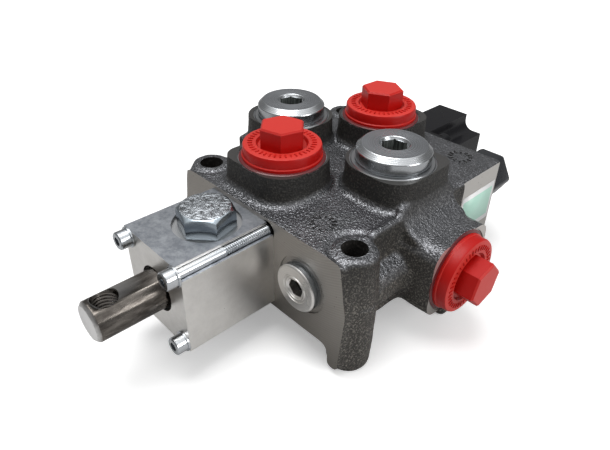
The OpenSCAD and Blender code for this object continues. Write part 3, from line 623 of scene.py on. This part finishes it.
# End block. A square bar of aluminium, with its two ends and one edge milled. The skin
# of its top is dull and blotched. In the milled step one of the four long screws lies open.
block_metal, tree, out = new_material("block_metal")
where = place_of(tree)
drawn = add(tree, "ShaderNodeMapping", {"Vector": where, "Scale": (1, 0.02, 1)}).outputs[0]
streaks = noise_of(tree, drawn, 2600.0, 4.0)
mottle = noise_of(tree, where, 150.0, 7.0, Roughness=0.72)
dull = map_range(tree, normal_of(tree)["Z"], 0.9, 0.98, 0.0, 1.0)
clean = mix_colours(tree, map_range(tree, mottle, 0.35, 0.65, 0.0, 1.0), (0.78, 0.76, 0.73), (0.86, 0.84, 0.81))
blotches = map_range(tree, mottle, 0.38, 0.62, 0.0, 1.0)
blotched = mix_colours(tree, blotches, (0.22, 0.235, 0.26), (0.42, 0.44, 0.47))
colour = pitted(tree, mix_colours(tree, dull, clean, blotched), (0.20, 0.19, 0.18), 0.007, 0.00014)
rough = math_node(tree, "MULTIPLY_ADD", dull, 0.10, map_range(tree, mottle, 0.3, 0.7, 0.38, 0.30))
finish_material(tree, out, colour, rough, streaks, 0.00002, Metallic=1.0)
end_block = dressed("detent_housing", "end_block", block_metal, 0.45)
BOLT_X, BOLT_Y, BLOCK_TOP, BOLT_SPOT_R = SPOOL_X, FRONT_Y - 20, SPOOL_Z + 22.5, 16.4
spot_floor = turned_metal("spot_floor", (0.42, 0.43, 0.44), (0.66, 0.67, 0.68), 0.30, 0.0008, 1.0)
# Painted shade: the wall of the bolt's spot face is dark grey, standing in for the shade inside the recess
spot_wall = plain_metal("spot_wall", (0.06, 0.062, 0.066), (0.14, 0.145, 0.15), 0.35)
end_block.data.materials.append(spot_floor)
end_block.data.materials.append(spot_wall)
for face in end_block.data.polygons:
    x, y, z = face.center / MM
    if math.hypot(x - BOLT_X, y - BOLT_Y) < BOLT_SPOT_R and z < BLOCK_TOP - 0.3:
        face.material_index = 1 if face.normal.z > 0.9 else 2
face_map(end_block, (BOLT_X * MM, BOLT_Y * MM, 0), (1, 0, 0), (0, 1, 0))

# Block screws and washers. Zinc-plated socket head screws as long as the block, whose
# rolled thread begins half way back. It shows on the screw that lies in the step.
zinc = plain_metal("zinc", (0.46, 0.49, 0.52), (0.68, 0.70, 0.72), 0.24, 0.003, 0.00002)
socket_screws = dressed("block_screws", "socket_screws", zinc, 0.35, segments=3)
dressed("block_washers", "washers", zinc, 0.2)


def growing_tree(name, sockets):
    """Starts a Geometry Nodes tree with named inputs and one output."""
    made = bpy.data.node_groups.new(name, "GeometryNodeTree")
    made.interface.new_socket("Geometry", in_out="OUTPUT", socket_type="NodeSocketGeometry")
    for label, kind in sockets:
        made.interface.new_socket(label, in_out="INPUT", socket_type="NodeSocket" + kind)
    return made, made.nodes.new("NodeGroupInput").outputs, made.nodes.new("NodeGroupOutput")


def grown(name, tree, place, **values):
    """Runs a Geometry Nodes tree once with its inputs set, and moves the mesh to its place."""
    made = bpy.data.objects.new(name, bpy.data.meshes.new(name))
    scene.collection.objects.link(made)
    modifier = made.modifiers.new("grown", "NODES")
    modifier.node_group = tree
    for socket in tree.interface.items_tree:
        if socket.in_out == "INPUT" and socket.name.replace(" ", "_") in values:
            modifier[socket.identifier] = values[socket.name.replace(" ", "_")]
    settle(made)
    made.data.transform(Matrix.Scale(MM, 4) @ place)
    smooth(made, 50)
    return made


# A rod whose surface rises and falls along a screw line
thread_tree, given, result = growing_tree("screw_thread", [
    ("Radius", "Float"), ("Depth", "Float"), ("Pitch", "Float"), ("Length", "Float"), ("Rings", "Int"),
    ("Material", "Material")])
rod = add(thread_tree, "GeometryNodeMeshCylinder", {
    "Vertices": 40, "Side Segments": given["Rings"], "Radius": given["Radius"], "Depth": given["Length"]})
place = split(thread_tree, add(thread_tree, "GeometryNodeInputPosition").outputs[0])
turn = math_node(thread_tree, "DIVIDE", math_node(thread_tree, "ARCTAN2", place["Y"], place["X"]), 2 * math.pi)
climb = math_node(thread_tree, "DIVIDE", place["Z"], given["Pitch"])
wave = math_node(thread_tree, "FRACT", math_node(thread_tree, "SUBTRACT", climb, turn))
wave = math_node(thread_tree, "ABSOLUTE", math_node(thread_tree, "MULTIPLY_ADD", wave, 2.0, -1.0))
groove = add(thread_tree, "ShaderNodeMapRange", {"Value": wave, "From Min": 0.12, "From Max": 0.85}).outputs[0]
shrink = math_node(thread_tree, "MULTIPLY", groove, math_node(thread_tree, "DIVIDE", given["Depth"], given["Radius"]))
factor = math_node(thread_tree, "SUBTRACT", 1.0, shrink)
moved = add(thread_tree, "ShaderNodeCombineXYZ", {
    0: math_node(thread_tree, "MULTIPLY", place["X"], factor),
    1: math_node(thread_tree, "MULTIPLY", place["Y"], factor), 2: place["Z"]}).outputs[0]
turned = add(thread_tree, "GeometryNodeSetPosition", {"Geometry": rod.outputs["Mesh"], "Position": moved})
whole = add(thread_tree, "GeometryNodeRealizeInstances", {0: turned.outputs[0]})
painted = add(thread_tree, "GeometryNodeSetMaterial", {"Geometry": whole.outputs[0], "Material": given["Material"]})
thread_tree.links.new(painted.outputs[0], result.inputs[0])

SCREW_X, SCREW_Z, THREAD_LEN = SPOOL_X + 18.5, SPOOL_Z + 18.5, 25.0
smooth_end = bmesh.new()
prism(smooth_end, circle(3.4, 48), FRONT_Y - THREAD_LEN, FRONT_Y - 0.3, at(SCREW_X, 0, SCREW_Z, ALONG_Y))
smooth_end = mesh_object("smooth_end", smooth_end)
smooth_end.data.transform(Matrix.Scale(MM, 4))
cut(socket_screws, smooth_end)
thread = grown("open_thread", thread_tree, at(SCREW_X, FRONT_Y - THREAD_LEN / 2, SCREW_Z, ALONG_Y),
               Radius=2.5, Depth=0.45, Pitch=1.15, Length=THREAD_LEN, Rings=260, Material=zinc)
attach(thread, "housing")

# Detent bolt. A hexagon bolt with a rough forged top and bright flats under its chamfer,
# screwed into the spot face of the block, and hollow for the detent spring and ball.
forged, tree, out = new_material("forged_zinc")
hammered = noise_of(tree, place_of(tree), 300.0, 5.0, Roughness=0.62, Distortion=1.4)
top = map_range(tree, normal_of(tree)["Z"], 0.93, 0.99, 0.0, 1.0)
scale = map_range(tree, hammered, 0.36, 0.54, 0.0, 1.0)
rough_top = mix_colours(tree, scale, (0.11, 0.115, 0.122), (0.40, 0.425, 0.45))
colour = mix_colours(tree, top, (0.36, 0.41, 0.45), rough_top)
rough = map_range(tree, top, 0.0, 1.0, 0.22, 0.30)
height = math_node(tree, "MULTIPLY", hammered, map_range(tree, top, 0.0, 1.0, 0.03, 1.0))
finish_material(tree, out, colour, rough, height, 0.0008, Metallic=1.0)
HEAD_AF, HEAD_LOW, HEAD_HIGH, HEAD_TURN = 24.0, BLOCK_TOP - 1.5, BLOCK_TOP + 8.5, 43.5
SHANK_R, SHANK_TIP, BALL_BORE, BORE_END = 8, SPOOL_Z + 11, 4.1, HEAD_HIGH - 3.5
CHAMFER_R, CHAMFER_Z = 14.6, HEAD_HIGH - 2.1
bolt = bmesh.new()
prism(bolt, circle(HEAD_AF / math.sqrt(3), 6), HEAD_LOW, HEAD_HIGH)
bolt = mesh_object("hex_bolt", bolt, [forged])
chamfer = bmesh.new()
lathe(chamfer, [(11.5, HEAD_HIGH + 1), (11.5, HEAD_HIGH), (CHAMFER_R, CHAMFER_Z), (16, CHAMFER_Z),
                (16, HEAD_HIGH + 1)])
cut(bolt, mesh_object("chamfer", chamfer, [forged]))
spring_hole = bmesh.new()
lathe(spring_hole, [(0, HEAD_LOW - 1), (BALL_BORE, HEAD_LOW - 1), (BALL_BORE, BORE_END), (0, BORE_END)], None, 48)
cut(bolt, mesh_object("spring_hole", spring_hole, [forged]))
shank = bmesh.new()
shank.from_mesh(bolt.data)
lathe(shank, [(SHANK_R, SHANK_TIP), (SHANK_R, HEAD_LOW + 0.2), (BALL_BORE, HEAD_LOW + 0.2),
              (BALL_BORE, SHANK_TIP)], None, 64)
shank.to_mesh(bolt.data)
shank.free()
edges = bolt.modifiers.new("edges", "BEVEL")
edges.width = 0.3
edges.segments = 2
edges.limit_method = "ANGLE"
edges.angle_limit = math.radians(25)
settle(bolt)
bolt.data.transform(Matrix.Scale(MM, 4) @ at(BOLT_X, BOLT_Y, 0, Matrix.Rotation(math.radians(HEAD_TURN), 4, "Z")))
smooth(bolt, 24)
stand_for(bolt, "detent_bolt")

# Spool. A ground steel rod under a brown film of oil, with a bright turned end and an
# M12 thread cut through its eye.
spool_steel, tree, out = new_material("spool_steel")
drawn = add(tree, "ShaderNodeMapping", {"Vector": place_of(tree), "Scale": (1, 0.3, 1)}).outputs[0]
film = noise_of(tree, drawn, 260.0, 7.0, Roughness=0.7)
end = map_range(tree, math_node(tree, "ABSOLUTE", normal_of(tree)["Y"]), 0.5, 0.9, 0.0, 1.0)
patches = map_range(tree, film, 0.38, 0.64, 0.0, 1.0)
oily = mix_colours(tree, patches, (0.070, 0.062, 0.055), (0.23, 0.21, 0.19))
colour = mix_colours(tree, end, oily, (0.92, 0.91, 0.90))
rough = math_node(tree, "MULTIPLY_ADD", end, 0.12, map_range(tree, film, 0.35, 0.65, 0.36, 0.22))
finish_material(tree, out, colour, rough, film, 0.00006, Metallic=1.0)
spool_rod = dressed("spool", "spool_rod", spool_steel, 0.2)
BLOCK_LENGTH, SPOOL_OUT, EYE_IN = 49, 32.5, 9
EYE_Y = FRONT_Y - BLOCK_LENGTH - SPOOL_OUT + EYE_IN
eye_steel = plain_metal("eye_steel", (0.06, 0.054, 0.048), (0.20, 0.185, 0.17), 0.20, 0.002)
mouth = bmesh.new()
EYE_R, MOUTH_R = 5.05, 5.9
lathe(mouth, [(0, -12), (MOUTH_R, -12), (MOUTH_R, -8.2), (EYE_R, -7.2), (EYE_R, 7.2), (MOUTH_R, 8.2),
              (MOUTH_R, 12), (0, 12)], at(SPOOL_X, EYE_Y, SPOOL_Z))
mouth = mesh_object("mouth", mouth, [eye_steel])
mouth.data.transform(Matrix.Scale(MM, 4))
cut(spool_rod, mouth)
cut(spool_rod, grown("eye_thread", thread_tree, at(SPOOL_X, EYE_Y, SPOOL_Z),
                     Radius=5.8, Depth=0.8, Pitch=1.75, Length=14.6, Rings=76, Material=eye_steel))
smooth(spool_rod, 40)

# Steel port plugs. Turned from bar and zinc-plated, with a wide bevel, and a countersink
# round a broached hexagon socket. Each is undercut where it meets the ring of its seat.
plug_steel = turned_metal("plug_steel", (0.26, 0.275, 0.30), (0.52, 0.54, 0.57), 0.27, 0.0011, 1.8, 0.00005)
bevel_steel = turned_metal("bevel_steel", (0.36, 0.375, 0.39), (0.60, 0.62, 0.64), 0.24, 0.0006, 1.2)
socket_steel, tree, out = new_material("socket_steel")
drawn = add(tree, "ShaderNodeMapping", {"Vector": place_of(tree), "Scale": (1, 1, 0.03)}).outputs[0]
broached = noise_of(tree, drawn, 900.0, 2.0)
shade = map_range(tree, broached, 0.38, 0.62, 0.0, 1.0)
colour = mix_colours(tree, shade, (0.16, 0.175, 0.17), (0.56, 0.60, 0.58))
finish_material(tree, out, colour, 0.3, broached, 0.0001, Metallic=0.9)


def turned_plug(name, profile, place, across_flats, floor, mouth, materials, bevel_from):
    """Turns a plug, cuts its hexagon socket, and finishes its end, its rim and the socket apart."""
    bm = bmesh.new()
    lathe(bm, profile, None, 128)
    made = mesh_object(name, bm, materials)
    socket = bmesh.new()
    prism(socket, circle(across_flats / math.sqrt(3), 6), floor, profile[-1][1] + 3, material=2)
    cut(made, mesh_object(name + "_socket", socket, materials))
    for face in made.data.polygons:
        reach = math.hypot(face.center.x, face.center.y)
        if face.material_index == 0 and (reach > bevel_from or face.center.z < mouth or abs(face.normal.z) < 0.9):
            face.material_index = 1
        # The socket's floor takes the near-black of painted shade
        if reach < across_flats * 0.5 and face.center.z < floor + 0.1 and face.normal.z > 0.9:
            face.material_index = 3
    made.data.transform(Matrix.Scale(MM, 4) @ place)
    smooth(made, 14)
    return made


# Painted shade: the floor of each hexagon socket is near-black, standing in for the shade at the bottom of the hole
socket_floor = plain_metal("socket_floor", (0.015, 0.015, 0.015), (0.05, 0.05, 0.05), 0.5, 0.002, 0.0001)
PORT_PLUG = [(0, -14), (12.4, -14), (12.4, 0.02), (17.4, 0.02), (17.5, 0.8), (18.1, 1.0), (18.5, 1.6), (18.5, 6.6),
             (18.3, 6.95), (16.1, 9.15), (15.8, 9.3), (7.7, 9.3), (7.45, 9.15), (6.6, 7.9), (0, 7.9)]
for node, (x, y), turn in (("steel_plug_pump", PORTS[2], 8), ("steel_plug_tank", PORTS[3], 20)):
    seat = at(x, y, BOSS_Z - SEAT_DEPTH, Matrix.Rotation(math.radians(turn), 4, "Z"))
    made = turned_plug("turned_" + node, PORT_PLUG, seat, 12, 1.3, 9.2,
                       [plug_steel, bevel_steel, socket_steel, socket_floor], 15.9)
    face_map(made, (x * MM, y * MM, 0), (1, 0, 0), (0, 1, 0))
    stand_for(made, node)

# Cavity plug. A turned steel plug in the front face, with a bright end, a ring groove, a
# blued rim and a burred hexagon socket.
end_steel = turned_metal("end_steel", (0.50, 0.485, 0.46), (0.90, 0.88, 0.85), 0.30, 0.0006, 1.2, 0.00003)
rim_steel = plain_metal("rim_steel", (0.30, 0.335, 0.37), (0.50, 0.54, 0.58), 0.22, 0.003)
CAVITY_PLUG = [(0, -8), (9.9, -8), (9.9, 0.02), (11.5, 0.02), (11.6, 0.6), (12, 0.9), (12, 4.2), (11.8, 4.5),
               (11.2, 5), (7.3, 5), (7.0, 4.6), (6.4, 4.6), (6.1, 5.0), (5.5, 5.0), (5.2, 4.6), (4.7, 4.1), (0, 4.1)]
facing_out = at(CAVITY_X, FRONT_Y + SEAT_DEPTH, SPOOL_Z, Matrix.Rotation(math.radians(90), 4, "X"))
made = turned_plug("front_plug", CAVITY_PLUG, facing_out @ Matrix.Rotation(math.radians(12), 4, "Z"), 8,
                   0.3, -20, [end_steel, end_steel, socket_steel, socket_floor], 20)
made.data.materials[1] = rim_steel
for face in made.data.polygons:
    x, y, z = face.center / MM
    if face.material_index < 2:
        rim = FRONT_Y + SEAT_DEPTH - y < 4.3 and math.hypot(x - CAVITY_X, z - SPOOL_Z) > 9
        face.material_index = 1 if rim else 0
face_map(made, (CAVITY_X * MM, 0, SPOOL_Z * MM), (1, 0, 0), (0, 0, 1))
stand_for(made, "cavity_plug")

# Shipping plugs. Moulded of soft red polyethylene, waxy, with rounded edges, a ring of raised
# ticks on the flange, and a thin clear lip that seals on the spot face and looks dark.
red_wax, tree, out = new_material("red_wax")
skin = place_grain(tree, 0.003)
deep = mix_colours(tree, skin.outputs["Blotches"], (0.40, 0.0015, 0.001), (0.52, 0.008, 0.005))
# Painted light: a paler red for the faces that look along the plug, as if lit
painted_light_red = mix_colours(tree, skin.outputs["Blotches"], (0.56, 0.026, 0.019), (0.66, 0.045, 0.034))
end_on = add(tree, "ShaderNodeAttribute", attribute_name="end_on").outputs["Fac"]
colour = mix_colours(tree, map_range(tree, end_on, 0.45, 0.95, 0.0, 1.0), deep, painted_light_red)
rough = map_range(tree, skin.outputs["Blotches"], 0.3, 0.7, 0.42, 0.30)
finish_material(tree, out, colour, rough, skin.outputs["Height"], 0.00006, Specular_IOR_Level=0.28)
red_lip = plain_metal("red_lip", (0.10, 0.010, 0.012), (0.16, 0.022, 0.024), 0.25, 0.003, 0.00002, 0.0)

# Small bars in a ring, a little uneven in size and turn
marks_tree, given, result = growing_tree("ring_of_marks", [
    ("Count", "Int"), ("Radius", "Float"), ("Size", "Vector"), ("Seed", "Int"), ("Material", "Material")])
circle_of = add(marks_tree, "GeometryNodeMeshCircle", {"Vertices": given["Count"], "Radius": given["Radius"]})
place = split(marks_tree, add(marks_tree, "GeometryNodeInputPosition").outputs[0])
angle = math_node(marks_tree, "ARCTAN2", place["Y"], place["X"])
sway = add(marks_tree, "FunctionNodeRandomValue", {2: -0.06, 3: 0.06, "Seed": given["Seed"]},
           data_type="FLOAT").outputs[1]
turn = add(marks_tree, "ShaderNodeCombineXYZ", {2: math_node(marks_tree, "ADD", angle, sway)}).outputs[0]
spread = add(marks_tree, "FunctionNodeRandomValue", {
    0: (0.8, 0.8, 0.95), 1: (1.05, 1.3, 1.05), "Seed": given["Seed"]}, data_type="FLOAT_VECTOR").outputs[0]
bar = add(marks_tree, "GeometryNodeMeshCube", {"Size": given["Size"]})
placed = add(marks_tree, "GeometryNodeInstanceOnPoints", {
    "Points": circle_of.outputs[0], "Instance": bar.outputs[0], "Rotation": turn, "Scale": spread})
whole = add(marks_tree, "GeometryNodeRealizeInstances", {0: placed.outputs[0]})
painted = add(marks_tree, "GeometryNodeSetMaterial", {"Geometry": whole.outputs[0], "Material": given["Material"]})
marks_tree.links.new(painted.outputs[0], result.inputs[0])

# The same bars, left by the mould, stand on the top of the casting at two places
for name, x, y, size in (("mould_mark_front", 28.8, 3.5, 5.0), ("mould_mark_rear", 34.0, 105.0, 5.6)):
    mark = grown(name, marks_tree, at(x, y, TOP_Z + 0.1), Count=12, Radius=size, Size=(2.4, 0.8, 0.9),
                 Seed=int(x), Material=cast_skin)
    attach(mark, "housing")

FLANGE_R, FLANGE_H, LIP_R = 19.9, 7.7, 18.6
for number, (node, seat) in enumerate((
    ("red_plug_a", at(PORTS[0][0], PORTS[0][1], BOSS_Z - SEAT_DEPTH)),
    ("red_plug_b", at(PORTS[1][0], PORTS[1][1], BOSS_Z - SEAT_DEPTH)),
    ("red_plug_pump", at(PUMP_X - SEAT_DEPTH, MID_Y, SIDE_PORT_Z, ALONG_X)),
    ("red_plug_tank", at(TANK_X + SEAT_DEPTH, MID_Y, SIDE_PORT_Z, ALONG_X @ Matrix.Rotation(math.pi, 4, "X"))),
)):
    wax = dressed(node, "wax_" + node, red_wax, 0.5, segments=3)
    marks = grown("marks_of_" + node, marks_tree, seat @ at(0, 0, FLANGE_H + 0.12), Count=40, Radius=15.6,
                  Size=(2.6, 0.6, 0.6), Seed=number + 3, Material=red_wax)
    lip = bmesh.new()
    lathe(lip, [(LIP_R, 0.02), (FLANGE_R + 1.35, 0.02), (FLANGE_R + 1.45, 0.5), (FLANGE_R + 0.3, 1.1), (LIP_R, 1.1)],
          seat)
    lip = mesh_object("lip_of_" + node, lip, [red_lip])
    lip.data.transform(Matrix.Scale(MM, 4))
    smooth(lip, 50)
    # Painted light: the faces that look along the plug get a paler red, standing in for the light they catch
    for piece in (wax, marks):
        painted_light_share = piece.data.attributes.new("end_on", "FLOAT", "POINT")
        axis = seat.to_3x3() @ Vector((0, 0, 1))
        painted_light_share.data.foreach_set("value", [vertex.normal.dot(axis) for vertex in piece.data.vertices])
    for piece in (marks, lip):
        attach(piece, "housing")

# Rear cap and relief cap. Satin black, with rounded edges. The rear cap is painted metal
# with four notches for its screws, and the relief cap is a moulded one for a seal wire.
black, tree, out = new_material("satin_black")
skin = place_grain(tree, 0.002)
colour = mix_colours(tree, skin.outputs["Blotches"], (0.005, 0.005, 0.006), (0.010, 0.010, 0.012))
rough = map_range(tree, skin.outputs["Blotches"], 0.3, 0.7, 0.34, 0.24)
finish_material(tree, out, colour, rough, skin.outputs["Height"], 0.00005, Specular_IOR_Level=0.18)
dressed("rear_cap", "spool_cover", black, 0.8, segments=3)
dressed("rear_cap_screws", "cover_screws", black, 0.3)
cap_plastic, tree, out = new_material("cap_plastic")
skin = place_grain(tree, 0.002)
colour = mix_colours(tree, skin.outputs["Blotches"], (0.012, 0.013, 0.016), (0.020, 0.022, 0.027))
rough = map_range(tree, skin.outputs["Blotches"], 0.3, 0.7, 0.30, 0.20)
finish_material(tree, out, colour, rough, skin.outputs["Height"], 0.00005)
low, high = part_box("relief_cap")
COVER_START, COVER_END, COVER_R, COVER_BORE = low[1] / MM, high[1] / MM, 14.8, 10.6
cover_axis = at(CAVITY_X, 0, SPOOL_Z, ALONG_Y)
cover = bmesh.new()
prism(cover, circle(COVER_R, 6), COVER_START, COVER_END, cover_axis)
cover = mesh_object("relief_cover", cover, [cap_plastic])
bevel = cover.modifiers.new("edges", "BEVEL")
bevel.width = 1.6
bevel.segments = 4
settle(cover)
hollow = bmesh.new()
lathe(hollow, [(0, COVER_START - 1), (COVER_BORE, COVER_START - 1), (COVER_BORE, COVER_END - 2.5),
               (0, COVER_END - 2.5)], cover_axis, 48)
cut(cover, mesh_object("cover_hollow", hollow, [cap_plastic]))
outward = Vector((math.cos(math.radians(-30)), 0, math.sin(math.radians(-30))))
wire_hole = bmesh.new()
hole_at = Vector((CAVITY_X, COVER_END - 7, SPOOL_Z)) + outward * 10 + Vector((0.5, 0, 0.866)) * 3
hole_axis = outward.to_track_quat("Z", "Y").to_matrix().to_4x4()
prism(wire_hole, circle(1.1, 24), 0, 8, Matrix.Translation(hole_at) @ hole_axis)
cut(cover, mesh_object("wire_hole", wire_hole, [cap_plastic]))
cover.data.transform(Matrix.Scale(MM, 4))
smooth(cover, 35)
stand_for(cover, "relief_cap")

# Label. A blank printed film with a white border and a mint field, stuck flat on the
# milled pad at the right side of the casting.
label_film, tree, out = new_material("label_film")
where = split(tree, place_of(tree))
low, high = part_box("label")
inside = 1.0
for axis, border in (("Y", 0.0015), ("Z", 0.003)):
    index = "XYZ".index(axis)
    middle, half = (low[index] + high[index]) / 2, (high[index] - low[index]) / 2 - border
    off = math_node(tree, "ABSOLUTE", math_node(tree, "SUBTRACT", where[axis], middle))
    inside = math_node(tree, "MULTIPLY", inside, math_node(tree, "LESS_THAN", off, half))
colour = mix_colours(tree, inside, (0.86, 0.86, 0.86), (0.50, 0.78, 0.66))
finish_material(tree, out, colour, 0.35)
dressed("label", "film_label", label_film, 0.0)

# Inner pieces, which the closed valve hides. Seals of rubber, springs wound of drawn wire,
# and a ground ball and poppets. They keep the shapes of their solids.
rubber = plain_metal("rubber", (0.02, 0.02, 0.02), (0.03, 0.03, 0.03), 0.6, 0.001, 0.00005, 0.0)
inner_steel = plain_metal("inner_steel", (0.40, 0.41, 0.42), (0.55, 0.56, 0.57), 0.25)
# Each valve spring is copied into a coil with a mesh of its own
for node, joint, fixed in (("relief_spring", "relief_lift", 1), ("check_spring", "check_lift", 0)):
    spring = dressed(node, "coil_of_" + node, inner_steel, 0.0)
    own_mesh(spring)
for node, obj in frame["nodes"].items():
    if not obj.hide_render:
        obj.data.materials.clear()
        obj.data.materials.append(rubber if "seal" in node else inner_steel)
